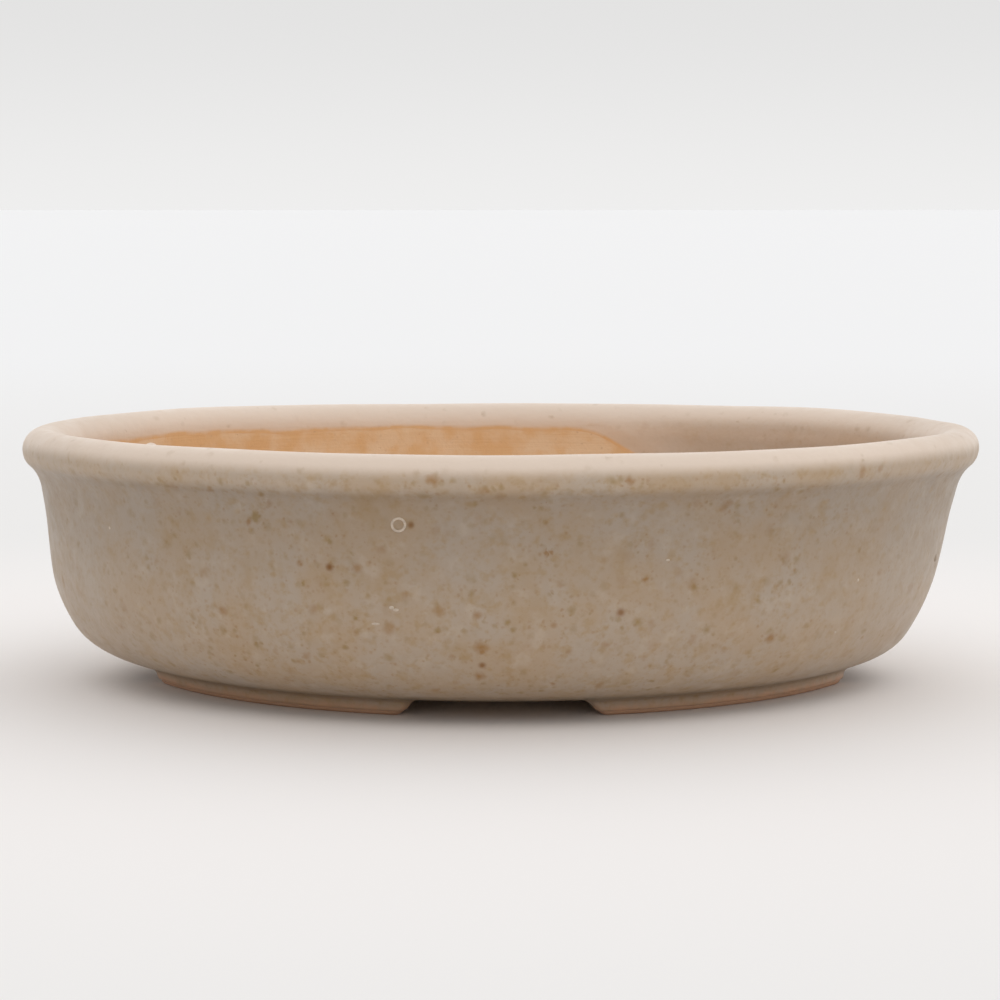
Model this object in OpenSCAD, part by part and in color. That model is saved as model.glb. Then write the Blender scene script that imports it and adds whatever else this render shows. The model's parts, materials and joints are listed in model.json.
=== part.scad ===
// Shallow oval bonsai pot: floor slab, wall, rolled rim lip and four bracket
// feet in stoneware clay, with a glaze coat over the outside and the lip.
// Millimetres, +Z up. The origin is the centre of the footprint, on the table.
// Every oval is drawn with four arcs, two round the ends and two along the sides,
// so a section keeps the same shape all the way round the pot.

/* [Oval] */
// Length over the lip
pot_length = 120; // [114:1:130]
// Distance from the middle of the pot to the centre of each end arc. The width
// over the lip is the length less four fifths of this.
end_centre = 27; // [24:1.5:30]

/* [Heights] */
// Height from the table to the top of the lip
pot_height = 32; // [30:0.5:38]
// Thickness of the floor slab
floor_thick = 3.2; // [2.5:0.1:4.5]
// Height of the feet below the floor
foot_height = 2.4; // [2:0.1:3.2]

/* [Wall] */
// Distance from the edge of the lip in to the wall, just below the lip
lip_overhang = 2.8; // [2.6:0.1:3.2]
// Lean of the wall, in degrees from upright
wall_lean = 8; // [5:0.5:10]
// Radius of the curve from the wall into the underside
belly_radius = 14; // [13:0.5:15]
// Thickness of the clay wall
wall_thick = 2.8; // [2.4:0.1:3.2]
// Radius between the inside of the wall and the floor
floor_fillet = 7; // [5:0.5:7]

/* [Lip] */
// Radius of the roll on the outside of the lip
outer_roll = 2.5; // [2.3:0.1:2.7]
// Height of the lip, from its joint with the wall to its top
lip_height = 7.5; // [7:0.1:8]

/* [Feet] */
// Distance from the edge of the lip in to the feet
foot_inset = 17; // [16:0.5:18]
// Width of a foot, from its outer face to its inner face
foot_width = 5; // [4:0.5:6]
// Gap between the two front feet, and between the two back feet
side_gap = 23; // [16:0.5:30]
// Gap between the two feet at each end
end_gap = 10; // [6:0.5:14]
// How much narrower each gap is at the floor than at the table
gap_slant = 3.5; // [0:0.5:5]

/* [Holes] */
// Diameter of a drain hole
drain_hole_d = 12; // [8:0.5:14]
// Distance between the two drain holes
drain_spacing = 46; // [40:1:50]
// Diameter of a tie wire hole
wire_hole_d = 3.5; // [2.5:0.5:4]
// Distance between the tie wire holes along the pot
wire_spacing_x = 56; // [50:1:56]
// Distance between the tie wire holes across the pot
wire_spacing_y = 26; // [22:1:26]

/* [Glaze] */
// Thickness of the glaze coat
glaze_thick = 0.4; // [0.3:0.05:0.5]
// How far the glaze runs down inside the lip, from the top
glaze_inside = 3.8; // [3.6:0.1:5]
// Bare strip left at the bottom of each foot
bare_foot_edge = 0.5; // [0.4:0.1:0.8]

/* [Hidden] */
$fn = 96;

// The four centres: a point on the edge of the lip is end_radius from an end
// centre, (+-end_centre, 0), or side_radius from a side centre, (0, +-side_centre).
// Two arcs meet at the seam, the line through their centres. It runs 15 along for
// 8 across, a 15-8-17 triangle, which keeps the centres and the radii exact.
seam = [15, 8];
seam_length = 17;
side_centre = end_centre * seam[1] / seam[0];
end_radius = pot_length / 2 - end_centre;
side_radius = end_radius + end_centre * seam_length / seam[0];

// The section. Its x is the distance in from the edge of the lip, and its y is
// the height above the table. Faces are placed at the outside of the glaze.
lean_slope = tan(wall_lean);
wall_normal = [cos(wall_lean), sin(wall_lean)];
lip_joint = pot_height - lip_height;
function wall_face(height) = [lip_overhang + (lip_joint - height) * lean_slope, height];
function inner_face(height) =
    wall_face(height) + [(wall_thick + 2 * glaze_thick) / cos(wall_lean), 0];

// Belly: the curve from the wall into the underside.
floor_bottom = foot_height;
underside = floor_bottom - glaze_thick;
belly_top = underside + belly_radius * (1 - sin(wall_lean));
belly_centre = wall_face(belly_top) + belly_radius * wall_normal;

// Lip: an outer roll, an inner roll that meets it at the top, and a hollow cove
// that joins the outer roll to the wall below.
roll_centre = [outer_roll, pot_height - outer_roll];
joint_to_roll = roll_centre - wall_face(lip_joint);
cove_radius = (joint_to_roll * joint_to_roll - outer_roll ^ 2)
              / (2 * (outer_roll - joint_to_roll * wall_normal));
cove_centre = wall_face(lip_joint) - cove_radius * wall_normal;
cove_end = atan2(roll_centre[1] - cove_centre[1], roll_centre[0] - cove_centre[0]);
inner_roll = ((inner_face(lip_joint)[0] - outer_roll) * cos(wall_lean) - lip_height * sin(wall_lean))
             / (1 - sin(wall_lean));
inner_roll_centre = [outer_roll, pot_height - inner_roll];

// Floor: a slab in a rebate cut in the bottom edge of the wall.
floor_top = floor_bottom + floor_thick;
rebate_height = floor_bottom + floor_thick / 2;
rebate_inset = belly_centre[0] + 0.6;
rebate_depth = 2.2;
fillet_top = floor_top + floor_fillet * (1 - sin(wall_lean));
fillet_centre = inner_face(fillet_top) - [glaze_thick / cos(wall_lean), 0]
                + floor_fillet * wall_normal;

arc_steps = 10;
reach = pot_length;

clay = [0.73, 0.55, 0.40];
glaze = [0.66, 0.59, 0.52];

// Points on an arc, from one angle to another. The first can be left out.
function arc(centre, radius, from, to, steps, first = 0) = [
    for (i = [first:steps])
        let (angle = from + (to - from) * i / steps)
            centre + radius * [cos(angle), sin(angle)]
];

function reverse(points) = [for (i = [len(points) - 1:-1:0]) points[i]];

// A distance into the wall, measured level instead of square to its face.
function level(depth) = [depth / cos(wall_lean), 0];

// Outside of the wall, downwards, at a depth below the glazed face.
function outer_curve(depth) = concat(
    [wall_face(lip_joint) + level(depth)],
    arc(belly_centre, belly_radius - depth, 180 + wall_lean, 270, 2 * arc_steps)
);

// Inside of the clay wall, downwards, to the floor.
function inner_curve() = concat(
    [inner_face(lip_joint) - level(glaze_thick)],
    arc(fillet_centre, floor_fillet, 180 + wall_lean, 270, arc_steps)
);

// The lip, from its joint on the outside, over the top, to its joint on the inside.
function lip_curve(depth) = concat(
    [wall_face(lip_joint) + level(depth)],
    arc(cove_centre, cove_radius + depth, wall_lean, cove_end, arc_steps, 1),
    arc(roll_centre, outer_roll - depth, cove_end + 180, 90, arc_steps, 1),
    arc(inner_roll_centre, inner_roll - depth, 90, wall_lean, arc_steps, 1),
    [inner_face(lip_joint) - level(depth)]
);

// Turns a section all the way round one centre.
module turned(radius, centre) {
    translate(centre)
        rotate_extrude()
            translate([radius, 0])
                mirror([1, 0])
                    children();
}

// Everything between two seams that meet at a point, from table to lip and beyond.
module between_seams(corner, seam_1, seam_2) {
    translate([0, 0, -1])
        linear_extrude(pot_height + 2)
            polygon([corner, corner + seam_1, corner + seam_2]);
}

// Carries a section round the oval, one arc at a time.
module around_oval() {
    far = 10 * seam;
    for (side = [-1, 1]) {
        end = [side * end_centre, 0];
        intersection() {
            turned(end_radius, end) children();
            between_seams(end, [side * far[0], far[1]], [side * far[0], -far[1]]);
        }
        middle = [0, -side * side_centre];
        intersection() {
            turned(side_radius, middle) children();
            between_seams(middle, [far[0], side * far[1]], [-far[0], side * far[1]]);
        }
    }
}

// The oval as a flat outline, at a distance in from the edge of the lip.
module oval(inset) {
    end_width = 2 * (end_centre + (end_radius - inset) * seam[0] / seam_length);
    for (side = [-1, 1])
        translate([side * end_centre, 0])
            circle(end_radius - inset);
    intersection() {
        translate([0, -side_centre])
            circle(side_radius - inset);
        translate([0, side_centre])
            circle(side_radius - inset);
        square([end_width, reach], center = true);
    }
}

module wall_section() {
    polygon(concat(
        outer_curve(glaze_thick),
        [
            [rebate_inset, floor_bottom],
            [rebate_inset, rebate_height],
            [rebate_inset - rebate_depth, rebate_height],
            [rebate_inset - rebate_depth, floor_top]
        ],
        reverse(inner_curve())
    ));
}

module body_glaze_section() {
    intersection() {
        polygon(concat(outer_curve(0), reverse(outer_curve(glaze_thick))));
        square([foot_inset + glaze_thick, lip_joint]);
    }
}

module rim_glaze_section() {
    wall_middle = (wall_face(lip_joint) + inner_face(lip_joint)) / 2;
    difference() {
        polygon(concat(lip_curve(0), reverse(lip_curve(glaze_thick))));
        translate([wall_middle[0], 0])
            square([reach, pot_height - glaze_inside]);
    }
}

// A foot fills the space between the table and the curved underside.
module foot_section() {
    difference() {
        translate([foot_inset + glaze_thick, 0])
            square([foot_width - glaze_thick, floor_bottom + glaze_thick]);
        wall_section();
        translate([belly_centre[0], floor_bottom])
            square([reach, glaze_thick]);
    }
}

module foot_glaze_section() {
    difference() {
        translate([foot_inset, bare_foot_edge])
            square([glaze_thick, floor_bottom - bare_foot_edge]);
        body_glaze_section();
        wall_section();
    }
}

// Everything on the +x side of a gap that narrows upwards.
module beyond_gap(gap) {
    rotate([90, 0, 0])
        linear_extrude(reach, center = true)
            polygon([
                [gap / 2, 0],
                [reach, 0],
                [reach, 2 * floor_bottom],
                [gap / 2 - gap_slant, 2 * floor_bottom]
            ]);
}

// One quarter of a ring under the pot, between two of the gaps.
module quarter(x_side, y_side) {
    scale([x_side, y_side, 1])
        intersection() {
            around_oval() children();
            beyond_gap(side_gap);
            rotate(90)
                mirror([0, 1, 0])
                    beyond_gap(end_gap);
        }
}

module foot(x_side, y_side) {
    color(clay)
        quarter(x_side, y_side) foot_section();
}

module foot_glaze(x_side, y_side) {
    color(glaze)
        quarter(x_side, y_side) foot_glaze_section();
}

module floor_slab() {
    color(clay)
        difference() {
            union() {
                translate([0, 0, floor_bottom])
                    linear_extrude(rebate_height - floor_bottom)
                        oval(rebate_inset);
                translate([0, 0, rebate_height])
                    linear_extrude(floor_top - rebate_height)
                        oval(rebate_inset - rebate_depth);
            }
            for (side = [-1, 1])
                translate([side * drain_spacing / 2, 0, 0])
                    cylinder(h = pot_height, d = drain_hole_d);
            for (x_side = [-1, 1], y_side = [-1, 1])
                translate([x_side * wire_spacing_x / 2, y_side * wire_spacing_y / 2, 0])
                    cylinder(h = pot_height, d = wire_hole_d);
        }
}

module wall() {
    color(clay)
        around_oval() wall_section();
}

module rim_lip() {
    color(clay)
        around_oval() polygon(lip_curve(glaze_thick));
}

module body_glaze() {
    color(glaze)
        around_oval() body_glaze_section();
}

module rim_glaze() {
    color(glaze)
        around_oval() rim_glaze_section();
}

floor_slab();
wall();
rim_lip();
foot(-1, -1);  // foot_front_left
foot(1, -1);  // foot_front_right
foot(-1, 1);  // foot_back_left
foot(1, 1);  // foot_back_right
body_glaze();
rim_glaze();
foot_glaze(-1, -1);  // foot_glaze_front_left
foot_glaze(1, -1);  // foot_glaze_front_right
foot_glaze(-1, 1);  // foot_glaze_back_left
foot_glaze(1, 1);  // foot_glaze_back_right
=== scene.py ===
import json
import math

import bmesh
import bpy
import numpy as np
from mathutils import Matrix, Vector
from mathutils.geometry import delaunay_2d_cdt


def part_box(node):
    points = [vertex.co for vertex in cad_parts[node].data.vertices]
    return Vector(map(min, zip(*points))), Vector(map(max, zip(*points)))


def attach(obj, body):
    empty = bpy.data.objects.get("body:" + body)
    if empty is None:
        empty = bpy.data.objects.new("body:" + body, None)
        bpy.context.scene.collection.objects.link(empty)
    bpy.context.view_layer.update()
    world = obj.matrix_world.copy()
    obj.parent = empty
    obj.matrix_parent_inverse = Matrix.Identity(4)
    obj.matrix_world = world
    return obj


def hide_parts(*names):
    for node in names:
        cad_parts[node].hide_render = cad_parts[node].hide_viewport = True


# Finish of a shallow oval bonsai pot: bare stoneware clay inside and underneath, and a satin,
# speckled glaze outside and over the lip. Each piece is swept or laid out round the same oval
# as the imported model, in millimetres, and then every piece is moved a little by handmade(),
# so that pieces that meet stay together. A mesh is in metres only once it is made.

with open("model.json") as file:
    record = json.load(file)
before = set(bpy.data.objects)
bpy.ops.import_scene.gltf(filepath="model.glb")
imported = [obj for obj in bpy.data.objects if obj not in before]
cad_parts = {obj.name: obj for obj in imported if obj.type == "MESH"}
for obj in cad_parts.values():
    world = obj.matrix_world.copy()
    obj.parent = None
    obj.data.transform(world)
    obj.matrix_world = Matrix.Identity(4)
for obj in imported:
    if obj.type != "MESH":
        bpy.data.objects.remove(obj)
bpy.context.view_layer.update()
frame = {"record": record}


# ---- Sizes, in millimetres -------------------------------------------------------------

MM = 0.001


def box_mm(node):
    """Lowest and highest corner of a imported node. Its mesh has flats, hence the rounding."""
    return [np.round(np.array(corner) / MM, 1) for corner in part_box(node)]


HALF_LENGTH, HALF_WIDTH, POT_HEIGHT = box_mm("rim_glaze")[1]
LIP_JOINT = box_mm("rim_lip")[0][2]
GLAZE = HALF_LENGTH - box_mm("rim_lip")[1][0]
OVERHANG = HALF_LENGTH - box_mm("body_glaze")[1][0]
UNDERSIDE = box_mm("body_glaze")[0][2]
FLOOR_BOTTOM = box_mm("floor_slab")[0][2]
FLOOR_TOP = box_mm("floor_slab")[1][2]

# The oval: two end arcs and two side arcs that meet at the seams.
SEAM = math.atan2(8, 15)
END_CENTRE = (HALF_LENGTH - HALF_WIDTH) / 0.4
SIDE_CENTRE = END_CENTRE * math.tan(SEAM)
END_RADIUS = HALF_LENGTH - END_CENTRE
SIDE_RADIUS = END_RADIUS + END_CENTRE / math.cos(SEAM)
SEAMS = np.array([-SEAM, SEAM, math.pi - SEAM, math.pi + SEAM, 2 * math.pi - SEAM])

# The section: x is the distance in from the edge of the lip, y the height. The lean is in
# degrees from upright.
LEAN = 8
BELLY_RADIUS = 14
WALL_THICK = 2.8
FLOOR_FILLET = 7
OUTER_ROLL = 2.5
REBATE_DEPTH = 2.2
LEAN_SLOPE = math.tan(math.radians(LEAN))
LEAN_COS = math.cos(math.radians(LEAN))
LEAN_SIN = math.sin(math.radians(LEAN))
WALL_NORMAL = np.array([LEAN_COS, LEAN_SIN])

# The feet. The visible ones spread a little further out at the ends of the pot.
FOOT_INSET = 17
FOOT_WIDTH = 5
SIDE_GAP = 23
END_GAP = 10
GAP_SLANT = 3.5
BARE_EDGE = 0.5
FOOT_CORNER = 1.3
END_SPREAD = 1.2

# Points round the oval, and the usual distance between points along a section.
STATIONS = 560
STEP = 0.42
# How close to a corner a straight stretch has an extra point.
HAIR = 0.03
# How far the hidden side of a coat reaches into the clay.
BITE = 0.06
# Creases sharper than this, in degrees, stay crisp.
SHARP_ANGLE = 38

BACK = math.pi / 2


def smooth(value, low=0.0, high=1.0):
    """Rises from 0 at low to 1 at high, level at both ends."""
    share = np.clip((value - low) / (high - low), 0, 1)
    return share * share * (3 - 2 * share)


def hump(value, middle, spread):
    """A soft bump of height 1."""
    return np.exp(-0.5 * ((value - middle) / spread) ** 2)


def turn_from(angle, middle):
    """How far an angle is from another, the short way round."""
    return np.abs((angle - middle + math.pi) % (2 * math.pi) - math.pi)


# ---- The oval --------------------------------------------------------------------------


def run_lengths(inset):
    """Length along the oval at each seam, from the first."""
    end_arc = 2 * SEAM * (END_RADIUS - inset)
    side_arc = (math.pi - 2 * SEAM) * (SIDE_RADIUS - inset)
    return np.cumsum([0, end_arc, side_arc, end_arc, side_arc])


def run_to(angle, inset):
    """Length along the oval up to the place that faces an angle."""
    return np.interp(angle, SEAMS, run_lengths(inset))


def angle_at(run, inset):
    """The way that the oval faces, at a length along it."""
    return np.interp(run, run_lengths(inset), SEAMS)


def oval(angle, inset):
    """Plan position of the place that faces an angle, at a distance in from the lip."""
    along, across = np.cos(angle), np.sin(angle)
    at_end = np.abs(across) * math.cos(SEAM) < np.abs(along) * math.sin(SEAM)
    radius = np.where(at_end, END_RADIUS, SIDE_RADIUS) - inset
    x = np.where(at_end, np.sign(along) * END_CENTRE, 0) + radius * along
    y = np.where(at_end, 0, -np.sign(across) * SIDE_CENTRE) + radius * across
    return x, y


def inset_of(x, y):
    """The angle that a plan position faces and how far in from the lip it is."""
    at_end = np.abs(y) * math.cos(SEAM) < (np.abs(x) - END_CENTRE) * math.sin(SEAM)
    from_x = x - np.where(at_end, np.sign(x) * END_CENTRE, 0)
    from_y = y + np.where(at_end, 0, np.sign(y) * SIDE_CENTRE)
    inset = np.where(at_end, END_RADIUS, SIDE_RADIUS) - np.hypot(from_x, from_y)
    return np.arctan2(from_y, from_x), inset


ANGLES = angle_at(np.linspace(0, run_lengths(0)[-1], STATIONS, endpoint=False), 0)


# ---- The section -----------------------------------------------------------------------


def arc(centre, radius, start, end, step=STEP):
    """Points on an arc, from one angle to another in degrees."""
    count = max(3, round(abs(math.radians(end - start)) * radius / step))
    angles = np.radians(np.linspace(start, end, count + 1))
    return np.array(centre) + radius * np.column_stack([np.cos(angles), np.sin(angles)])


def line(start, end, step=STEP):
    """Points on a straight line, with one close to each end so that shading meets its neighbour."""
    start, end = np.array(start, float), np.array(end, float)
    length = np.linalg.norm(end - start)
    count = max(1, round(length / step))
    shares = np.linspace(0, 1, count + 1)
    if length > 8 * HAIR:
        shares = np.concatenate([[0, HAIR / length], shares[1:-1], [1 - HAIR / length, 1]])
    return start + shares[:, None] * (end - start)


def path(*stretches):
    """Joins stretches of points, leaving out doubled ones."""
    points = np.concatenate([np.atleast_2d(stretch) for stretch in stretches])
    apart = np.linalg.norm(np.diff(points, axis=0), axis=1) > 1e-6
    return points[np.concatenate([[True], apart])]


def wall_face(height):
    """The glazed outside of the straight wall at a height."""
    return np.array([OVERHANG + (LIP_JOINT - height) * LEAN_SLOPE, height])


def level(depth):
    """A distance into the wall, measured level instead of square to its face."""
    return np.array([depth / LEAN_COS, 0])


def inner_face(height):
    """The inside of the straight wall at a height, with a coat of glaze on it."""
    return wall_face(height) + level(WALL_THICK + 2 * GLAZE)


BELLY_TOP = UNDERSIDE + BELLY_RADIUS * (1 - LEAN_SIN)
BELLY_CENTRE = wall_face(BELLY_TOP) + BELLY_RADIUS * WALL_NORMAL
REBATE_INSET = BELLY_CENTRE[0] + 0.6
REBATE_HEIGHT = (FLOOR_BOTTOM + FLOOR_TOP) / 2
SLAB_INSET = REBATE_INSET - REBATE_DEPTH
FILLET_TOP = FLOOR_TOP + FLOOR_FILLET * (1 - LEAN_SIN)
FILLET_CENTRE = inner_face(FILLET_TOP) - level(GLAZE) + FLOOR_FILLET * WALL_NORMAL

ROLL_CENTRE = np.array([OUTER_ROLL, POT_HEIGHT - OUTER_ROLL])
TO_ROLL = ROLL_CENTRE - wall_face(LIP_JOINT)
COVE_RADIUS = (TO_ROLL @ TO_ROLL - OUTER_ROLL**2) / (2 * (OUTER_ROLL - TO_ROLL @ WALL_NORMAL))
COVE_CENTRE = wall_face(LIP_JOINT) - COVE_RADIUS * WALL_NORMAL
COVE_END = math.degrees(math.atan2(*(ROLL_CENTRE - COVE_CENTRE)[::-1]))
LIP_HEIGHT = POT_HEIGHT - LIP_JOINT
INNER_ROLL = (inner_face(LIP_JOINT)[0] - OUTER_ROLL) * LEAN_COS - LIP_HEIGHT * LEAN_SIN
INNER_ROLL = INNER_ROLL / (1 - LEAN_SIN)
INNER_ROLL_CENTRE = np.array([OUTER_ROLL, POT_HEIGHT - INNER_ROLL])


def outer_curve(depth, end=270):
    """Outside of the wall, downwards, at a depth below the glazed face."""
    radius = BELLY_RADIUS - depth
    return path(
        line(wall_face(LIP_JOINT) + level(depth), BELLY_CENTRE - radius * WALL_NORMAL),
        arc(BELLY_CENTRE, radius, 180 + LEAN, end, STEP * radius / BELLY_RADIUS),
    )


def lip_over(depth):
    """The lip from its joint outside, over the top, to the start of its straight inside."""
    joint = wall_face(LIP_JOINT) + level(depth)
    first = LEAN + math.degrees(HAIR / COVE_RADIUS)
    cove, roll, inner = COVE_RADIUS + depth, OUTER_ROLL - depth, INNER_ROLL - depth
    return path(
        joint,
        arc(COVE_CENTRE, cove, first, COVE_END, STEP * cove / COVE_RADIUS),
        arc(ROLL_CENTRE, roll, COVE_END + 180, 90, STEP * roll / OUTER_ROLL / 1.5),
        arc(INNER_ROLL_CENTRE, inner, 90, LEAN, STEP * inner / INNER_ROLL),
    )


# ---- Unevenness of a handmade pot ------------------------------------------------------


def body_shift(height):
    """The body stands a little to the left of its lip and its feet."""
    return -0.95 * smooth(height, 0, 8) * (1 - smooth(height, 9, 32))


def body_swell(height):
    """How the turned profile differs from true arcs, as the height changes."""
    cove = 0.24 * hump(height, 25.3, 2.0)
    lip = -0.12 * hump(height, 28.6, 1.3)
    waist = -0.16 * hump(height, 11.5, 2.2)
    belly = 0.42 * hump(height, 4.9, 1.7)
    return cove + lip + waist + belly


def slow_waves(angle, height):
    """Slow hollows and fullnesses round the wall."""
    return (
        0.07 * np.sin(3 * angle + 0.08 * height + 0.6)
        + 0.05 * np.sin(7 * angle - 0.21 * height + 2.1)
        + 0.035 * np.sin(13 * angle + 0.34 * height + 4.0)
        + 0.025 * np.sin(23 * angle - 0.5 * height + 1.0)
    )


def lip_waves(angle):
    """The top of the lip isn't quite level. The back sags in the middle."""
    from_back = turn_from(angle, BACK)
    back = -0.2 * hump(from_back, 0, 0.3) + 0.28 * hump(from_back, 0.82, 0.2)
    return back + 0.03 * np.sin(9 * angle + 1.3) + 0.02 * np.sin(17 * angle)


def floor_marks(angle, inset):
    """Rings left by a rib on the floor, and a slight dish."""
    rings = 0.07 * np.sin(2 * math.pi * inset / 3.4 + 0.6 * np.sin(2 * angle))
    return rings * smooth(inset, 15, 19) - 0.25 * smooth(inset, 16, 40)


def handmade(points):
    """Moves points, in millimetres, as the real pot departs from the drawn one."""
    x, y, z = points.T
    angle, inset = inset_of(x, y)
    near_wall = 1 - smooth(inset, 13, 17)
    out = near_wall * (body_swell(z) + slow_waves(angle, z) * smooth(z, 1, 5))
    rise = lip_waves(angle) * smooth(z, 20, POT_HEIGHT)
    rise = rise + floor_marks(angle, inset) * smooth(z, 4.6, 5.4) * smooth(inset, 13.5, 15)
    return np.column_stack([
        x + out * np.cos(angle) + body_shift(z),
        y + out * np.sin(angle),
        z + rise,
    ])


def on_wall(x, y, height):
    """A place on the outside of the wall and the three directions there: along, up, out."""
    angle = inset_of(np.array(x - body_shift(height)), np.array(y))[0]
    inset = np.interp(height, *outer_curve(0)[::-1, ::-1].T)
    plan = oval(angle, inset)
    place = handmade(np.array([[plan[0], plan[1], height]]))[0]
    out = np.array([math.cos(angle) * LEAN_COS, math.sin(angle) * LEAN_COS, -LEAN_SIN])
    along = np.array([-math.sin(angle), math.cos(angle), 0])
    return place, along, np.cross(out, along), out


# ---- Meshes ----------------------------------------------------------------------------


def face_outwards(mesh):
    """Turns every face of a closed mesh outwards, whichever way its points run."""
    closed = bmesh.new()
    closed.from_mesh(mesh)
    bmesh.ops.recalc_face_normals(closed, faces=closed.faces)
    closed.to_mesh(mesh)
    closed.free()


def make_piece(name, points, faces, material, nodes=()):
    """Makes a closed piece from points in millimetres. It rides on the pot."""
    mesh = bpy.data.meshes.new(name)
    mesh.from_pydata((np.asarray(points) * MM).tolist(), [], [tuple(face) for face in faces])
    face_outwards(mesh)
    mesh.shade_smooth()
    mesh.set_sharp_from_angle(angle=math.radians(SHARP_ANGLE))
    mesh.materials.append(material)
    piece = bpy.data.objects.new(name, mesh)
    bpy.context.scene.collection.objects.link(piece)
    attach(piece, "root")
    if nodes:
        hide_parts(*nodes)
    return piece


def paint_masks(piece, **masks):
    """Stores masks for the material to read, each with one number for each point."""
    for name, values in masks.items():
        layer = piece.data.attributes.new(name, "FLOAT", "POINT")
        layer.data.foreach_set("value", np.asarray(values, np.float32).ravel())


def grid_faces(rows, columns, closed_rows, closed_columns):
    """Quads between the points of a grid that is stored row by row."""
    down = np.arange(rows if closed_rows else rows - 1)
    along = np.arange(columns if closed_columns else columns - 1)
    row, column = np.meshgrid(down, along, indexing="ij")
    next_row, next_column = (row + 1) % rows, (column + 1) % columns
    quads = [
        row * columns + column,
        row * columns + next_column,
        next_row * columns + next_column,
        next_row * columns + column,
    ]
    return np.stack(quads, -1).reshape(-1, 4)


def stitch(one, other, closed):
    """Quads between two lines of points."""
    if closed:
        one, other = np.append(one, one[0]), np.append(other, other[0])
    return np.stack([one[:-1], other[:-1], other[1:], one[1:]], -1)


def swept(section):
    """Points of a section carried round the oval, row by row."""
    section = np.asarray(section)
    if section.ndim == 2:
        section = np.repeat(section[:, None], STATIONS, axis=1)
    x, y = oval(ANGLES[None, :], section[..., 0])
    return np.stack([x, y, section[..., 1]], -1)


# ---- Shader groups ---------------------------------------------------------------------


def feed(tree, socket, value):
    """Gives a socket a value, or links the output that feeds it."""
    if isinstance(value, bpy.types.NodeSocket):
        tree.links.new(value, socket)
    else:
        socket.default_value = value


def add(tree, kind, inputs=None, **settings):
    """Adds a node. inputs gives its sockets values, or the outputs that feed them."""
    node = tree.nodes.new("ShaderNode" + kind)
    for name, value in settings.items():
        setattr(node, name, value)
    for key, value in (inputs or {}).items():
        feed(tree, node.inputs[key], value)
    return node


def math_node(tree, operation, *values):
    """Arithmetic on plain values."""
    return add(tree, "Math", dict(enumerate(values)), operation=operation).outputs[0]


def product(tree, *values):
    """Multiplies values together."""
    total = values[0]
    for value in values[1:]:
        total = math_node(tree, "MULTIPLY", total, value)
    return total


# Where a Mix node has the two colours that go in, and the one that comes out.
MIX_FIRST, MIX_SECOND, MIX_RESULT = 6, 7, 2


def blend_colour(tree, share, first, second):
    """Mixes two colours, by a share from 0 to 1."""
    node = add(tree, "Mix", {"Factor": share}, data_type="RGBA")
    for key, colour in ((MIX_FIRST, first), (MIX_SECOND, second)):
        feed(tree, node.inputs[key], (*colour, 1) if isinstance(colour, tuple) else colour)
    return node.outputs[MIX_RESULT]


def ramp(tree, value, low, high, bottom=0.0, top=1.0):
    """Takes a value from low..high to bottom..top, levelling off at both ends."""
    inputs = {"Value": value, "From Min": low, "From Max": high, "To Min": bottom, "To Max": top}
    return add(tree, "MapRange", inputs, interpolation_type="SMOOTHSTEP").outputs["Result"]


def new_group(name, inputs, outputs):
    """A shader group with named sockets, as (group, its input node, its output node)."""
    group = bpy.data.node_groups.new(name, "ShaderNodeTree")
    for socket, kind, value in inputs:
        made = group.interface.new_socket(socket, in_out="INPUT", socket_type="NodeSocket" + kind)
        if value is not None:
            made.default_value = value
    for socket, kind in outputs:
        group.interface.new_socket(socket, in_out="OUTPUT", socket_type="NodeSocket" + kind)
    return group, group.nodes.new("NodeGroupInput"), group.nodes.new("NodeGroupOutput")


def use(tree, group, **inputs):
    """Places a shader group in a tree."""
    node = tree.nodes.new("ShaderNodeGroup")
    node.node_tree = group
    for name, value in inputs.items():
        feed(tree, node.inputs[name], value)
    return node.outputs[0]


def cloud_group():
    """Soft patches of a size in millimetres."""
    sockets = [
        ("Place", "Vector", None),
        ("Size", "Float", 5.0),
        ("Low", "Float", 0.4),
        ("High", "Float", 0.6),
    ]
    group, given, made = new_group("soft_patches", sockets, [("Mask", "Float")])
    scale = math_node(group, "DIVIDE", 1.0, given.outputs["Size"])
    inputs = {"Vector": given.outputs["Place"], "Scale": scale, "Detail": 3.0, "Roughness": 0.55}
    patches = add(group, "TexNoise", inputs)
    mask = ramp(group, patches.outputs[0], given.outputs["Low"], given.outputs["High"])
    group.links.new(mask, made.inputs[0])
    return group


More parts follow.
